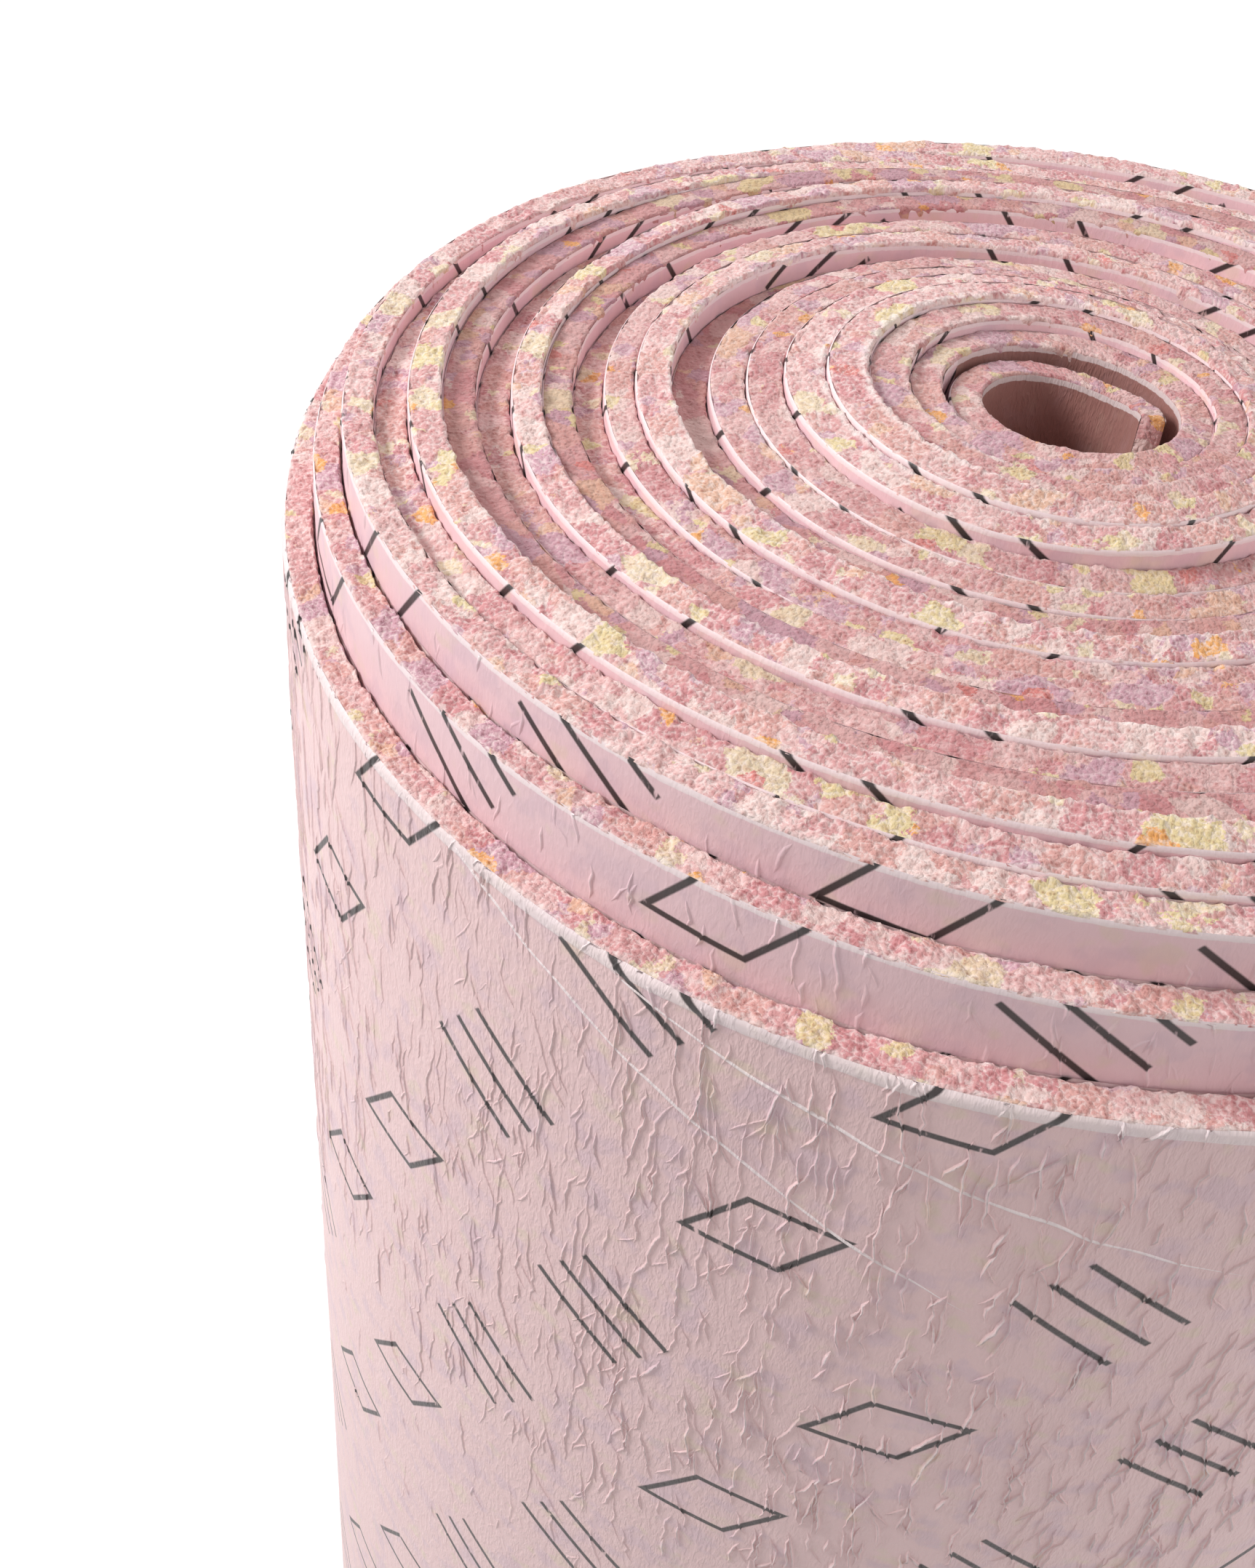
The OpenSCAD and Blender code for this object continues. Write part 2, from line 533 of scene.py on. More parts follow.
def crinkle_lines(rng, patch, each, long, wide, high, forked=FORKED):
    """Kinked lines down a patch of film, one to each area in square mm, with widths and heights from mm."""
    s0, s1, d0, d1 = patch
    long, wide, high = long * MM, wide * MM, high * MM
    lines = []
    for _ in range(int((s1 - s0) * (d1 - d0) / (each * MM * MM))):
        start = (rng.uniform(s0, s1), rng.uniform(d0 - long / 2, d1))
        size = long * rng.lognormal(*SIZE_SPREAD)
        line = walk(rng, start, rng.normal(0, WALK_LEAN), size)
        lines.append((line, wide * rng.uniform(*WIDTHS), high * rng.uniform(*HEIGHTS)))
        if rng.random() < forked:
            fork = line[rng.integers(1, len(line) - 1)]
            lean = rng.choice([-1.0, 1.0]) * rng.uniform(*FORK_LEANS)
            line = walk(rng, fork, lean, size * rng.uniform(*FORK_SIZES))
            lines.append((line, wide * rng.uniform(*FORK_WIDTHS), high * rng.uniform(*FORK_HEIGHTS)))
    return lines


def ridge_points(line, wide, high):
    """Lengths, depths and heights of one narrow ridge that is steeper on one side."""
    across, profile = np.array(RIDGE).T
    along = np.gradient(line, axis=0)
    along = along / np.linalg.norm(along, axis=1)[:, None]
    taper = np.sin(math.pi * np.linspace(RIDGE_END, 1 - RIDGE_END, len(line))) ** RIDGE_ROUND
    deeper = smooth((DEEPER_FROM - turn_at(line[0, 0])) / (DEEPER_FROM - DEEPER_FULL))
    high = high * (1 + DEEPER_MORE * deeper)
    reach = wide * (RIDGE_NARROW + (1 - RIDGE_NARROW) * taper)[:, None] * across[None, :]
    s = line[:, :1] + along[:, 1:] * reach
    d = line[:, 1:] - along[:, :1] * reach
    return s, d, high * taper[:, None] * profile[None, :] - SINK


def film_crinkles(name, lines, limits, proud, height, material):
    """Short folds of the film, inside limits of length and depth; their height is stored for the painted
    highlight on their tops.
    """
    s_from, s_to, d_from, d_to = limits
    all_s, all_d, all_up, all_quads = [], [], [], []
    used = 0
    for line, wide, high in lines:
        s, d, up = ridge_points(line, wide, high)
        if s.min() < s_from or s.max() > s_to or d.max() > d_to:
            continue
        all_s.append(s.ravel())
        all_d.append(np.maximum(d, d_from).ravel())
        all_up.append(up.ravel())
        all_quads.append(grid_faces(*s.shape, flip=True) + used)
        used += s.size
    s, d, up = np.concatenate(all_s), np.concatenate(all_d), np.concatenate(all_up)
    v = turn_at(s)
    radius = outer_radius(v) + FILM_OFF + proud(s, d) + up
    # the ridges' height, stored as a negative distance in, drives the painted highlight on their tops
    sheet = np.stack([s, np.minimum(-up, 0), -d], -1)
    make_piece(name, place(v, radius, height(v, d)), sheet, np.concatenate(all_quads), material)


def film_crease(name, line, material):
    """One long fold line: a narrow ridge of film that follows the outer film's surface."""
    (a0, d0), (a1, d1) = line
    along = np.linspace(0, 1, CREASE_POINTS)
    wander = line_noise(along, CREASE_KINK, int(a0))
    v = (END_ANGLE - np.radians(a0 + (a1 - a0) * along)) / math.tau % 1.0
    depth = (d0 + (d1 - d0) * along + CREASE_WANDER * wander) * MM
    size = smooth(along / CREASE_START) * smooth((1 - along) / CREASE_FADE)
    size = size * (CREASE_EVEN + (1 - CREASE_EVEN) * np.roll(wander, CREASE_SHIFT))
    across = np.linspace(-1, 1, CREASE_ROWS)
    shape = (len(along), len(across))
    vv = np.broadcast_to(v[:, None], shape)
    dd = depth[:, None] + across[None, :] * CREASE_WIDE * size[:, None]
    ridge = CREASE_HIGH * (1 - across ** 2)[None, :] * size[:, None] - CREASE_SINK
    s = length_at(vv)
    radius = outer_radius(vv) + FILM_OFF + skin_proud(s, dd) + ridge
    points = place(vv, radius, skin_height(vv, dd))
    sheet = np.stack([s, np.zeros(shape), -dd], -1)
    make_piece(name, points, sheet, grid_faces(*shape, flip=True), material)


def film_rows(first, steps):
    """Depths from the first one on, with a step for each stretch, from mm."""
    rows = [first]
    for until, step in steps:
        count = max(1, int(round((until - rows[-1]) / step)))
        rows += list(np.linspace(rows[-1], until, count + 1)[1:])
    return np.array(rows) * MM


def film_skin(name, v, d, material):
    """The film round the outside of the roll."""
    shape = (len(v), len(d))
    vv, dd = np.broadcast_to(v[:, None], shape), np.broadcast_to(d[None, :], shape)
    s = length_at(vv)
    points = place(vv, outer_radius(vv) + FILM_OFF + skin_proud(s, dd), skin_height(vv, dd))
    sheet = np.stack([s, np.zeros(shape), -dd], -1)
    make_piece(name, points, sheet, grid_faces(*shape), material)


def film_strip(name, v, d, inside, material):
    """Film on one face of the inner turns, as deep as the grooves show it."""
    shape = (len(v), len(d))
    vv, dd = np.broadcast_to(v[:, None], shape), np.broadcast_to(d[None, :], shape)
    s = length_at(vv)
    proud = FILM_OFF + strip_proud(s, dd)
    thick = thickness(vv)
    radius = outer_radius(vv) - thick - proud if inside else outer_radius(vv) + proud
    sheet = np.stack([s, thick if inside else np.zeros(shape), -dd], -1)
    points = place(vv, radius, strip_height(vv, dd))
    make_piece(name, points, sheet, grid_faces(*shape, flip=inside), material)


# Materials

def srgb(red, green, blue):
    """An 8-bit screen colour as the linear colour that nodes take."""
    def linear(level):
        level /= 255
        return level / 12.92 if level <= 0.04045 else ((level + 0.055) / 1.055) ** 2.4
    return (linear(red), linear(green), linear(blue), 1.0)


# Foam colours: the chips' by share, then the rare ones, the painted highlight of cell walls and torn edges,
# and the painted shade tints
CHIP_COLOURS = (
    (0.00, srgb(217, 162, 161)),
    (0.20, srgb(228, 184, 181)),
    (0.38, srgb(220, 167, 160)),
    (0.52, srgb(208, 164, 176)),
    (0.62, srgb(213, 149, 151)),
    (0.74, srgb(234, 203, 197)),
    (0.86, srgb(231, 209, 178)),
    (0.915, srgb(228, 184, 160)),
    (0.95, srgb(229, 208, 160)),
)
ORANGE, ORANGE_ABOVE = srgb(240, 174, 104), 0.988
RED, RED_BELOW = srgb(218, 136, 130), 0.005
PAINTED_HIGHLIGHT = srgb(253, 238, 234)
PAINTED_SHADE_TINT = (0.64, 0.44, 0.43, 1.0)
RECESS_SHADE_TINT = (0.78, 0.70, 0.70, 1.0)

# Foam texture: features to a metre, how far chips' edges are moved in metres, and weights
CHIP_SCALE, SMALL_CHIP_SCALE = 118.0, 235.0
BEND_SCALE, BEND = 190.0, 0.005
CRUMBLE = 0.0022
BROKEN_SHARE = 0.5
GRAIN_SCALE, CRUMB_SCALE, CELL_SCALE = 1150.0, 430.0, 1000.0
HOLLOW_SHADE_WEIGHT, PIT_SHADE_WEIGHT, WALL_GLINT_WEIGHT, FRINGE_HIGHLIGHT_WEIGHT = 0.35, 0.75, 0.5, 0.65
OUTER_FRINGE_HIGHLIGHT = 0.6
FOAM_BUMP = 0.0005

# Film colours
FILM_HAZE = srgb(237, 203, 203)
# the inner turns' film, a little paler than the outer film: painted light that makes up for the shade in the
# grooves
STRIP_HAZE = srgb(239, 205, 210)
# painted shade: the film in the bore and in the gap behind the loose inner end, darker than the same film
# elsewhere
BORE_SHADE_HAZE = srgb(166, 119, 112)
FILM_YELLOW = srgb(228, 208, 186)
FILM_LILAC = srgb(217, 188, 200)
FILM_PALE = srgb(245, 232, 232)
INK = srgb(22, 14, 13)

# Film texture: features to a metre, stretch down the film, and weights
CLOUD_SCALE, FOLD_SCALE = 120.0, 420.0
FOLD_STRETCH = (1.0, 1.0, 0.34)
FOLD_SHARP = 9.0
FILM_BUMP = 0.0003
BAND_WAVER = 0.0008
BAND_WEIGHT, RIDGE_HIGHLIGHT_WEIGHT, INK_WEIGHT = 0.7, 0.6, 0.96
ROUGH_LOW, ROUGH_HIGH = 0.36, 0.5

# Print, in metres: cells in staggered rows, lozenges in some and groups of bars in the others
CELL_WIDE, CELL_TALL, CELL_SHIFT = 0.058, 0.047, 0.0275
LOZENGE_TURN, LOZENGE_FLAT = math.radians(24), 0.55
LOZENGE_REACH, LOZENGE_LINE = 0.0088, 0.00075
BAR_TURN, BAR_SPACE, BAR_LINE = math.radians(-38), 0.0042, 0.0007
BARS_TALL, BARS_LONG = 0.0096, 0.0125
PRINT_SOFT = 0.00025


class Graph:
    """The nodes of a material or a world, with short calls for the kinds used here."""

    def __init__(self, owner):
        owner.use_nodes = True
        self.owner = owner
        self.tree = owner.node_tree
        self.tree.nodes.clear()

    def add(self, kind, inputs=None, **settings):
        node = self.tree.nodes.new("ShaderNode" + kind)
        for key, value in settings.items():
            setattr(node, key, value)
        for key, value in (inputs or {}).items():
            if isinstance(value, bpy.types.NodeSocket):
                self.tree.links.new(value, node.inputs[key])
            else:
                node.inputs[key].default_value = value
        return node

    def math(self, operation, a, b=0.0, clamp=False):
        return self.add("Math", {0: a, 1: b}, operation=operation, use_clamp=clamp).outputs[0]

    def times(self, a, b):
        return self.math("MULTIPLY", a, b)

    def plus(self, a, b):
        return self.math("ADD", a, b)

    def minus(self, a, b, clamp=False):
        return self.math("SUBTRACT", a, b, clamp)

    def size(self, a):
        """The number without its sign."""
        return self.math("ABSOLUTE", a)

    def mix(self, factor, a, b, blend="MIX"):
        return self.add("Mix", {0: factor, 6: a, 7: b}, data_type="RGBA", blend_type=blend).outputs[2]

    def span(self, value, low, high):
        """0 at low, 1 at high, eased between."""
        inputs = {"Value": value, "From Min": low, "From Max": high}
        return self.add("MapRange", inputs, interpolation_type="SMOOTHSTEP").outputs[0]

    def below(self, value, limit):
        """1 where the value is below the limit, with a soft edge."""
        return self.span(value, limit + PRINT_SOFT, limit - PRINT_SOFT)

    def vector(self, operation, inputs):
        return self.add("VectorMath", inputs, operation=operation).outputs[0]

    def noise(self, vector, scale, detail=2.0, roughness=0.5):
        inputs = {"Vector": vector, "Scale": scale, "Detail": detail, "Roughness": roughness}
        return self.add("TexNoise", inputs)

    def split(self, colour):
        return self.add("SeparateColor", {0: colour}).outputs

    def ramp(self, factor, stops):
        node = self.add("ValToRGB", {0: factor})
        node.color_ramp.interpolation = "CONSTANT"
        elements = node.color_ramp.elements
        while len(elements) < len(stops):
            elements.new(1.0)
        for element, (position, colour) in zip(elements, stops):
            element.position = position
            element.color = colour
        return node.outputs[0]

    def finish(self, inputs):
        shader = self.add("BsdfPrincipled", inputs)
        self.add("OutputMaterial", {"Surface": shader.outputs[0]})
        return self.owner


def sheet_axes(g):
    """The sheet's own coordinates: all three, then length, distance in from the outer face, and height."""
    vector = g.add("Attribute", attribute_name="sheet").outputs["Vector"]
    parts = g.add("SeparateXYZ", {0: vector}).outputs
    return vector, parts[0], parts[1], parts[2]


def shifted(g, vector, colour, amount):
    """The vector moved about by a noise colour."""
    centred = g.vector("SUBTRACT", {0: colour, 1: (0.5, 0.5, 0.5)})
    moved = g.vector("SCALE", {0: centred, "Scale": amount})
    return g.vector("ADD", {0: vector, 1: moved})


def chips(g, vector, grain):
    """Colours of the bonded chips, with edges that the grain breaks up."""
    crumbled = shifted(g, vector, grain, CRUMBLE)
    bent = shifted(g, crumbled, g.noise(vector, BEND_SCALE).outputs["Color"], BEND)
    large = g.split(g.add("TexVoronoi", {"Vector": bent, "Scale": CHIP_SCALE}).outputs["Color"])
    small = g.split(g.add("TexVoronoi", {"Vector": crumbled, "Scale": SMALL_CHIP_SCALE}).outputs["Color"])
    broken = g.math("GREATER_THAN", large[1], BROKEN_SHARE)
    pick = g.add("Mix", {0: broken, 2: large[0], 3: small[0]}, data_type="FLOAT").outputs[0]
    colour = g.ramp(pick, CHIP_COLOURS)
    colour = g.mix(g.math("GREATER_THAN", small[1], ORANGE_ABOVE), colour, ORANGE)
    return g.mix(g.math("LESS_THAN", small[1], RED_BELOW), colour, RED)


def shade_pits_glint_walls(g, colour, torn_and_lit, crumb, cells, grain):
    """The colour with painted shade in hollows and pits, and painted glints on cell walls where the foam is
    torn.
    """
    # painted shade in the crumbs' hollows and in the pores
    hollow_shade = g.times(g.span(crumb, 0.5, 0.32), HOLLOW_SHADE_WEIGHT)
    colour = g.mix(hollow_shade, colour, PAINTED_SHADE_TINT, "MULTIPLY")
    pit_shade = g.times(g.span(cells, 0.36, 0.12), g.span(grain, 0.6, 0.42))
    colour = g.mix(g.times(pit_shade, PIT_SHADE_WEIGHT), colour, PAINTED_SHADE_TINT, "MULTIPLY")
    # painted glints on the pale cell walls
    wall_glint = g.times(g.span(cells, 0.34, 0.66), g.span(grain, 0.38, 0.6))
    return g.mix(g.times(g.times(wall_glint, torn_and_lit), WALL_GLINT_WEIGHT), colour, PAINTED_HIGHLIGHT)


def highlight_fringes(g, colour, torn_and_lit, crumb, across):
    """The colour with a painted highlight along both edges of a torn end."""
    near_outer = g.times(g.span(across, 1.1 * MM, 0.1 * MM), OUTER_FRINGE_HIGHLIGHT)
    near_inner = g.span(across, FOAM_T - 1.5 * MM, FOAM_T - 0.3 * MM)
    fringe_highlight = g.times(g.math("MAXIMUM", near_outer, near_inner), g.span(crumb, 0.34, 0.58))
    # painted highlight along the torn edges, on the raised crumbs
    return g.mix(g.times(g.times(fringe_highlight, torn_and_lit), FRINGE_HIGHLIGHT_WEIGHT), colour, PAINTED_HIGHLIGHT)


def foam_material():
    """Bonded chip foam, torn on some turns and cut smooth on others, with painted shade on the smooth
    recessed turns and in pits, and painted highlights on walls and torn edges.
    """
    g = Graph(bpy.data.materials.new("bonded_foam"))
    vector, _, across, _ = sheet_axes(g)
    grain_node = g.noise(vector, GRAIN_SCALE, roughness=0.6)
    grain = grain_node.outputs[0]
    torn_and_lit = g.add("Attribute", attribute_name="torn_and_lit").outputs["Fac"]
    crumb = g.noise(vector, CRUMB_SCALE, roughness=0.6).outputs[0]
    cells = g.add("TexVoronoi", {"Vector": vector, "Scale": CELL_SCALE}).outputs["Distance"]
    colour = chips(g, vector, grain_node.outputs["Color"])
    # painted shade on the smooth-cut turns, which lie recessed between their neighbours
    colour = g.mix(g.minus(1.0, torn_and_lit), colour, RECESS_SHADE_TINT, "MULTIPLY")
    colour = shade_pits_glint_walls(g, colour, torn_and_lit, crumb, cells, grain)
    colour = highlight_fringes(g, colour, torn_and_lit, crumb, across)
    height = g.plus(g.times(grain, 0.8), g.times(cells, 0.6))
    bump = g.add("Bump", {"Strength": 1.0, "Distance": FOAM_BUMP, "Height": height}).outputs[0]
    return g.finish({
        "Base Color": colour, "Roughness": 0.9, "Specular IOR Level": 0.3, "Normal": bump,
        "Sheen Weight": 0.12, "Sheen Roughness": 0.6,
    })


def cell_axes(g, s, z):
    """Place inside a staggered grid of cells, and a number that tells the cells apart."""
    row_at = g.math("DIVIDE", g.plus(z, CELL_SHIFT), CELL_TALL)
    row = g.math("FLOOR", row_at)
    stagger = g.times(g.math("PINGPONG", row, 1.0), 0.5)
    column_at = g.plus(g.math("DIVIDE", s, CELL_WIDE), stagger)
    column = g.math("FLOOR", column_at)
    x = g.times(g.minus(g.minus(column_at, column), 0.5), CELL_WIDE)
    y = g.times(g.minus(g.minus(row_at, row), 0.5), CELL_TALL)
    return x, y, g.math("PINGPONG", g.plus(column, row), 1.0)


def turned(g, x, y, angle):
    """Two axes turned by an angle."""
    c, s = math.cos(angle), math.sin(angle)
    return g.minus(g.times(x, c), g.times(y, s)), g.plus(g.times(x, s), g.times(y, c))


def print_mask(g, s, z):
    """A plain printed pattern of outlined lozenges and groups of slanted bars in staggered rows."""
    x, y, kind = cell_axes(g, s, z)
    a, b = turned(g, x, y, LOZENGE_TURN)
    reach = g.plus(g.times(g.size(a), LOZENGE_FLAT), g.size(b))
    lozenge = g.below(g.size(g.minus(reach, LOZENGE_REACH)), LOZENGE_LINE)
    a, b = turned(g, x, y, BAR_TURN)
    bar = g.math("PINGPONG", g.plus(b, 2 * BAR_SPACE), BAR_SPACE)
    bars = g.times(g.below(bar, BAR_LINE), g.below(g.size(b), BARS_TALL))
    bars = g.times(bars, g.below(g.size(a), BARS_LONG))
    return g.math("ADD", g.times(kind, lozenge), g.times(g.minus(1.0, kind), bars), clamp=True)


def film_material(name, haze, band, printed, mottled=0.55, creased=0.35):
    """Film bonded to the foam: satin, hazy, with the chips faint under it and a painted highlight on the
    tops of its crinkles.
    """
    g = Graph(bpy.data.materials.new(name))
    vector, s, across, z = sheet_axes(g)
    cloud = g.split(g.noise(vector, CLOUD_SCALE, roughness=0.6).outputs["Color"])
    colour = g.mix(g.times(g.span(cloud[0], 0.56, 0.68), mottled), haze, FILM_YELLOW)
    colour = g.mix(g.times(g.span(cloud[1], 0.5, 0.66), mottled), colour, FILM_LILAC)
    stretched = g.vector("MULTIPLY", {0: vector, 1: FOLD_STRETCH})
    fold = g.noise(stretched, FOLD_SCALE, 3.0, 0.6).outputs[0]
    off_fold = g.minus(fold, 0.5)
    if band:
        depth = g.minus(g.times(off_fold, BAND_WAVER), z)
        rim = g.span(depth, band + 0.1 * MM, band - 0.1 * MM)
        colour = g.mix(g.times(rim, BAND_WEIGHT), colour, FILM_PALE)
    # painted highlight on the tops of the crinkles, so that they show under any light
    ridge_highlight = g.span(across, -0.12 * MM, -0.5 * MM)
    colour = g.mix(g.times(ridge_highlight, RIDGE_HIGHLIGHT_WEIGHT), colour, FILM_PALE)
    if printed:
        ink = g.times(print_mask(g, s, z), g.times(g.span(fold, 0.28, 0.4), INK_WEIGHT))
        colour = g.mix(ink, colour, INK)
    ridge = g.minus(1.0, g.times(g.size(off_fold), FOLD_SHARP), clamp=True)
    bump = g.add("Bump", {"Strength": creased, "Distance": FILM_BUMP, "Height": ridge}).outputs[0]
    rough = g.add("MapRange", {"Value": cloud[2], "To Min": ROUGH_LOW, "To Max": ROUGH_HIGH}).outputs[0]
    return g.finish({"Base Color": colour, "Roughness": rough, "Specular IOR Level": 0.5, "Normal": bump})


# Stage: the floor glows a little for the camera, less near the roll, where its shadow is
WHITE = (1, 1, 1, 1)
FLOOR_RADIUS = 5.0
FLOOR_SEGMENTS = 96
FLOOR_DROP = 0.5 * MM
FLOOR_COLOURS = (0.80, 0.80, 0.80, 1), (0.83, 0.83, 0.83, 1)
FLOOR_WEAR = 3.0
GLOW_NEAR, GLOW_MORE = 0.44, 0.28
GLOW_FROM, GLOW_TO = 0.4, 1.6
WORLD_COLOUR = (1.0, 0.98, 0.97, 1)
WORLD_LEVEL = 0.42

# Lamps, as name, direction, distance and size in metres, and power in watts
LAMPS = (
    ("key", (-0.80, -0.20, 0.59), 1.6, 0.5, 19.5),
    ("fill", (0.85, -0.25, 0.45), 1.8, 1.4, 8.5),
    ("rim", (-0.30, 0.84, 0.46), 1.7, 0.6, 8.0),
)
LAMP_AIM = Vector((0, 0, SHEET_W - 0.1))


def seen_ray(g):
    """1 for rays that show the background as it is."""
    path = g.add("LightPath")
    seen = g.math("MAXIMUM", path.outputs["Is Camera Ray"], path.outputs["Is Glossy Ray"])
    return g.math("MAXIMUM", seen, path.outputs["Is Transmission Ray"])


def floor_material():
    """Pale matt paint, clear when it is seen from below."""
    g = Graph(bpy.data.materials.new("floor_paint"))
    spot = g.add("TexCoord").outputs["Object"]
    away = g.add("VectorMath", {0: spot}, operation="LENGTH").outputs["Value"]
    level = g.plus(g.times(g.span(away, GLOW_FROM, GLOW_TO), GLOW_MORE), GLOW_NEAR)
    colour = g.mix(g.noise(spot, FLOOR_WEAR).outputs[0], *FLOOR_COLOURS)
    paint = g.add("BsdfPrincipled", {
        "Base Color": colour, "Roughness": 0.9, "Specular IOR Level": 0.1,
        "Emission Color": WHITE, "Emission Strength": g.times(seen_ray(g), level),
    })
    clear = g.add("BsdfTransparent")
    under = g.add("NewGeometry").outputs["Backfacing"]
    sides = g.add("MixShader", {0: under, 1: paint.outputs[0], 2: clear.outputs[0]})
    g.add("OutputMaterial", {"Surface": sides.outputs[0]})
    return g.owner


def make_floor():
    """A round floor just under the roll."""
    mesh = bpy.data.meshes.new("floor")
    angles = np.linspace(0, math.tau, FLOOR_SEGMENTS, endpoint=False)
    ring = [(FLOOR_RADIUS * math.cos(a), FLOOR_RADIUS * math.sin(a), -FLOOR_DROP) for a in angles]
    mesh.from_pydata(ring, [], [list(range(FLOOR_SEGMENTS))])
    mesh.materials.append(floor_material())
    floor = bpy.data.objects.new("floor", mesh)
    bpy.context.scene.collection.objects.link(floor)


def make_world():
    """Even light from all round, in front of a white background."""
    g = Graph(bpy.data.worlds.new("studio"))
    light = g.add("Background", {0: WORLD_COLOUR, 1: WORLD_LEVEL})
    white = g.add("Background", {0: WHITE})
    mixer = g.add("MixShader", {0: seen_ray(g), 1: light.outputs[0], 2: white.outputs[0]})
    g.add("OutputWorld", {0: mixer.outputs[0]})
    bpy.context.scene.world = g.owner


def make_lamp(name, direction, distance, size, power):
    """A square lamp that points at the roll's upper end."""
    data = bpy.data.lights.new(name, "AREA")
    data.size = size
    data.energy = power
    lamp = bpy.data.objects.new(name, data)
    lamp.location = LAMP_AIM + Vector(direction).normalized() * distance
    lamp.rotation_euler = (LAMP_AIM - lamp.location).to_track_quat("-Z", "Y").to_euler()
    bpy.context.scene.collection.objects.link(lamp)


def swung(a, b, angle):
    """Two directions at right angles, swung by an angle in their plane."""
    return a * math.cos(angle) + b * math.sin(angle), b * math.cos(angle) - a * math.sin(angle)


def make_camera():
    """The camera of the photo, as fitted to the roll's outline."""
    back = Vector((0, -math.cos(CAMERA_LIFT), math.sin(CAMERA_LIFT)))
    forward, right = -back, Vector((1, 0, 0))
    up = right.cross(forward)
    forward, right = swung(forward, right, CAMERA_PAN)
    forward, up = swung(forward, up, CAMERA_TILT)
    right, up = swung(right, up, CAMERA_ROLL)
    data = bpy.data.cameras.new("camera")
    data.sensor_fit = "VERTICAL"
    data.sensor_height = SENSOR
    data.lens = FOCAL_PX / PHOTO_H * SENSOR
    data.clip_start = CLIP_START
    camera = bpy.data.objects.new("camera", data)
    turn = Matrix((right, up, -forward)).transposed().to_4x4()
    spot = back * CAMERA_DISTANCE * OUTER_R + Vector((0, 0, SHEET_W))
    camera.matrix_world = Matrix.Translation(spot) @ turn
    bpy.context.scene.collection.objects.link(camera)
    bpy.context.scene.camera = camera


# Steps along the film in mm, for the near, the less near and the far sectors, and its rows
SKIN_STEPS = 1.8, 2.2, 2.2
SECOND_STEPS = 1.4, 2.4, 2.8
OUTER_STEPS = 1.8, 2.6, 3.4
INNER_STEPS = 2.4, 2.6, 4.4
BORE_STEPS = 1.6, 1.6, 1.6
SKIN_TOP = 0.3
SKIN_EDGE_ROWS, SKIN_ROW, SKIN_LOW_ROW = (4.2, 0.5), 2.6, 22.0
SECOND_TOP, SECOND_ROWS = 0.12, ((2.0, 0.6), (18.0, 2.2), (28.0, 5.0))
OUTER_ROWS = np.array([0.12, 0.5, 1.2, 3.0, 8.0, 28.0]) * MM
INNER_ROWS = np.array([0.3, 0.8, 2.0, 6.0, 28.0]) * MM
BORE_TOP_ROWS, BORE_LOW_FROM, BORE_LOW_COUNT = (0.3, 0.8, 2.0, 6.0), 14, 28

# Turns between which the strips of film lie
SECOND_FROM, SECOND_TO = 0.95, 3.0
GAP_TURNS = 0.45

# Crinkles, as square mm of film to each, then length, half width and height in mm
CRINKLE_SEED = 31
NEAR_CRINKLES = 46, 17, 0.42, 0.42
EDGE_CRINKLES = 16, 13, 0.55, 0.45
FAR_CRINKLES = 120, 12, 0.6, 0.4
LOW_CRINKLES = 300, 13, 0.6, 0.4
STRIP_CRINKLES = 85, 8, 0.55, 0.4, 0.3
NEAR_FROM, NEAR_TO, SKIN_TO = 0.12, 0.5, 0.995
EDGE_DEPTHS = 0.2 * MM, 1.2 * MM
LOW_TO = 1.6 * SKIN_SPLIT
SKIN_LIMITS = 10 * MM, length_at(SKIN_TO), 0.35 * MM, 2 * SKIN_SPLIT
STRIP_SPAN = length_at(0.98), length_at(2.98)
STRIP_DEPTHS, STRIP_LIMITS = (1.5 * MM, 16 * MM), (0.4 * MM, 26 * MM)


def make_stage():
    make_camera()
    make_world()
    make_floor()
    for lamp in LAMPS:
        make_lamp(*lamp)


def make_foam(foam):
    """The crumbly ends of the turns, group by group, and the body under them."""
    for i, (group, v0, v1, step) in enumerate(FOAM_GROUPS):
        ends = ("start",) * (i == 0) + ("end",) * (i == len(FOAM_GROUPS) - 1)
        foam_end(group, v0, v1, step, foam, ends)
    foam_body(foam)


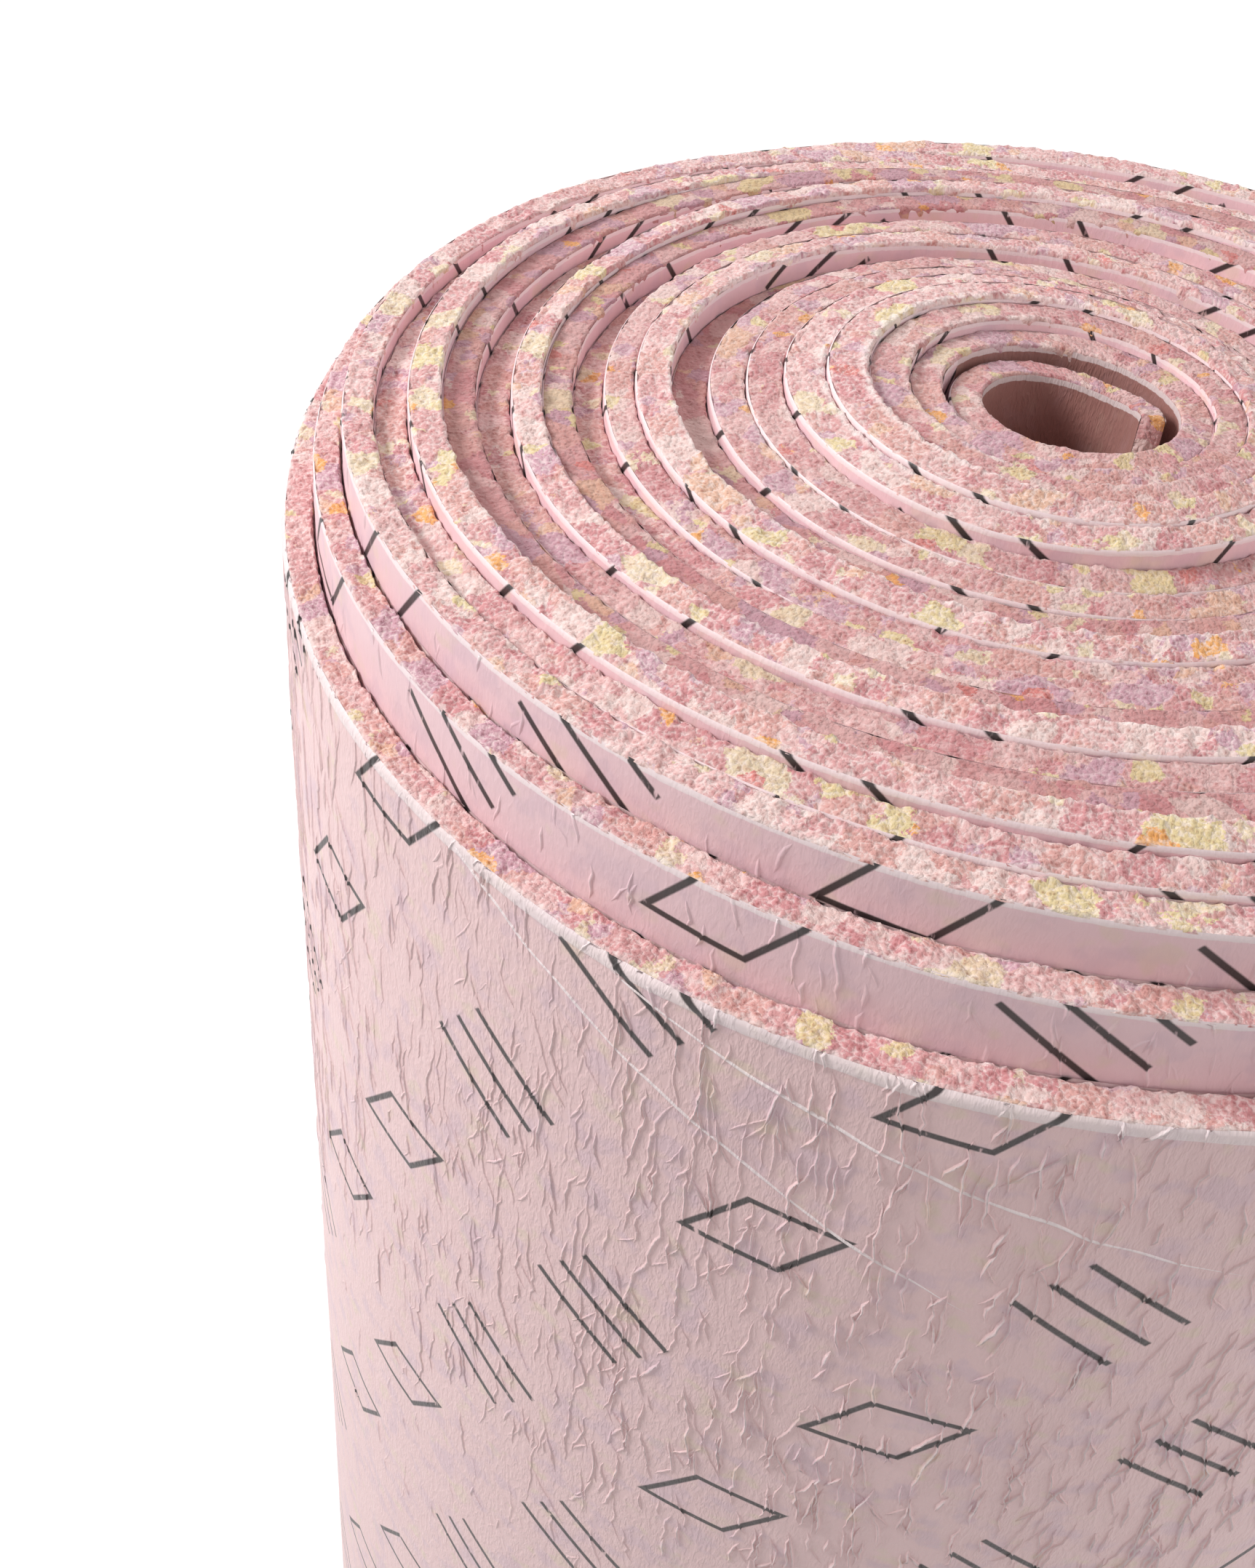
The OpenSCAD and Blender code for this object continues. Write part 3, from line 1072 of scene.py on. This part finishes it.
def make_skin(rng, skin, fold):
    """The film round the outside, with its crinkles and creases."""
    split, whole = SKIN_SPLIT / MM, SHEET_W / MM
    skin_v = stations(0, 1.0, *SKIN_STEPS)
    film_skin("film_skin_upper", skin_v, film_rows(SKIN_TOP, (SKIN_EDGE_ROWS, (split, SKIN_ROW))), skin)
    film_skin("film_skin_lower", skin_v, film_rows(split, ((whole, SKIN_LOW_ROW),)), skin)
    near_0, near_1, end = length_at(NEAR_FROM), length_at(NEAR_TO), length_at(SKIN_TO)
    lines = crinkle_lines(rng, (near_0, near_1, 0.0, SKIN_SPLIT), *NEAR_CRINKLES)
    lines += crinkle_lines(rng, (near_0, near_1, *EDGE_DEPTHS), *EDGE_CRINKLES)
    film_crinkles("film_crinkles_near", lines, SKIN_LIMITS, skin_proud, skin_height, skin)
    lines = crinkle_lines(rng, (0.0, near_0, 0.0, SKIN_SPLIT), *FAR_CRINKLES)
    lines += crinkle_lines(rng, (near_1, end, 0.0, SKIN_SPLIT), *FAR_CRINKLES)
    lines += crinkle_lines(rng, (0.0, end, SKIN_SPLIT, LOW_TO), *LOW_CRINKLES)
    film_crinkles("film_crinkles_far", lines, SKIN_LIMITS, skin_proud, skin_height, skin)
    for i, line in enumerate(CREASES):
        film_crease(f"film_crease_{i + 1}", line, fold)


def make_strips(rng, strip):
    """The film of the inner turns on both faces, with crinkles where the camera sees most of it."""
    second_v = stations(SECOND_FROM, SECOND_TO, *SECOND_STEPS)
    film_strip("film_strips_second", second_v, film_rows(SECOND_TOP, SECOND_ROWS), False, strip)
    lines = crinkle_lines(rng, (*STRIP_SPAN, *STRIP_DEPTHS), *STRIP_CRINKLES)
    limits = (*STRIP_SPAN, *STRIP_LIMITS)
    film_crinkles("film_strip_crinkles", lines, limits, strip_proud, strip_height, strip)
    outer_v = stations(SECOND_TO, TURNS - GAP_TURNS, *OUTER_STEPS)
    film_strip("film_strips_outer", outer_v, OUTER_ROWS, False, strip)
    inner_v = stations(0.0, TURNS - 1 - GAP_TURNS, *INNER_STEPS)
    film_strip("film_strips_inner", inner_v, INNER_ROWS, True, strip)


def make_bore(bore):
    """The film in the gap behind the loose inner end and down the bore, with painted shade in its colour
    below a pale top band.
    """
    gap_v = stations(TURNS - GAP_TURNS, TURNS, *BORE_STEPS)
    film_strip("film_gap_near", gap_v, OUTER_ROWS, False, bore)
    film_strip("film_gap_far", gap_v - 1.0, INNER_ROWS, True, bore)
    low_rows = np.linspace(BORE_LOW_FROM, SHEET_W / MM, BORE_LOW_COUNT)
    bore_rows = np.concatenate([BORE_TOP_ROWS, low_rows]) * MM
    film_strip("film_bore", stations(TURNS - 1.0, TURNS, *BORE_STEPS), bore_rows, True, bore)


make_stage()
rng = np.random.default_rng(CRINKLE_SEED)
foam = foam_material()
skin = film_material("outer_film", FILM_HAZE, BAND, True)
strip = film_material("inner_film", STRIP_HAZE, STRIP_BAND, True, mottled=0.4, creased=0.15)
fold = film_material("folded_film", FILM_PALE, 0, False, mottled=0.1)
# painted shade in the bore and gap film, below its pale top band
bore = film_material("bore_shade_film", BORE_SHADE_HAZE, BORE_BAND, False, mottled=0.06)
make_foam(foam)
make_skin(rng, skin, fold)
make_strips(rng, strip)
make_bore(bore)

bpy.context.scene.view_settings.view_transform = "Standard"

bpy.context.view_layer.update()
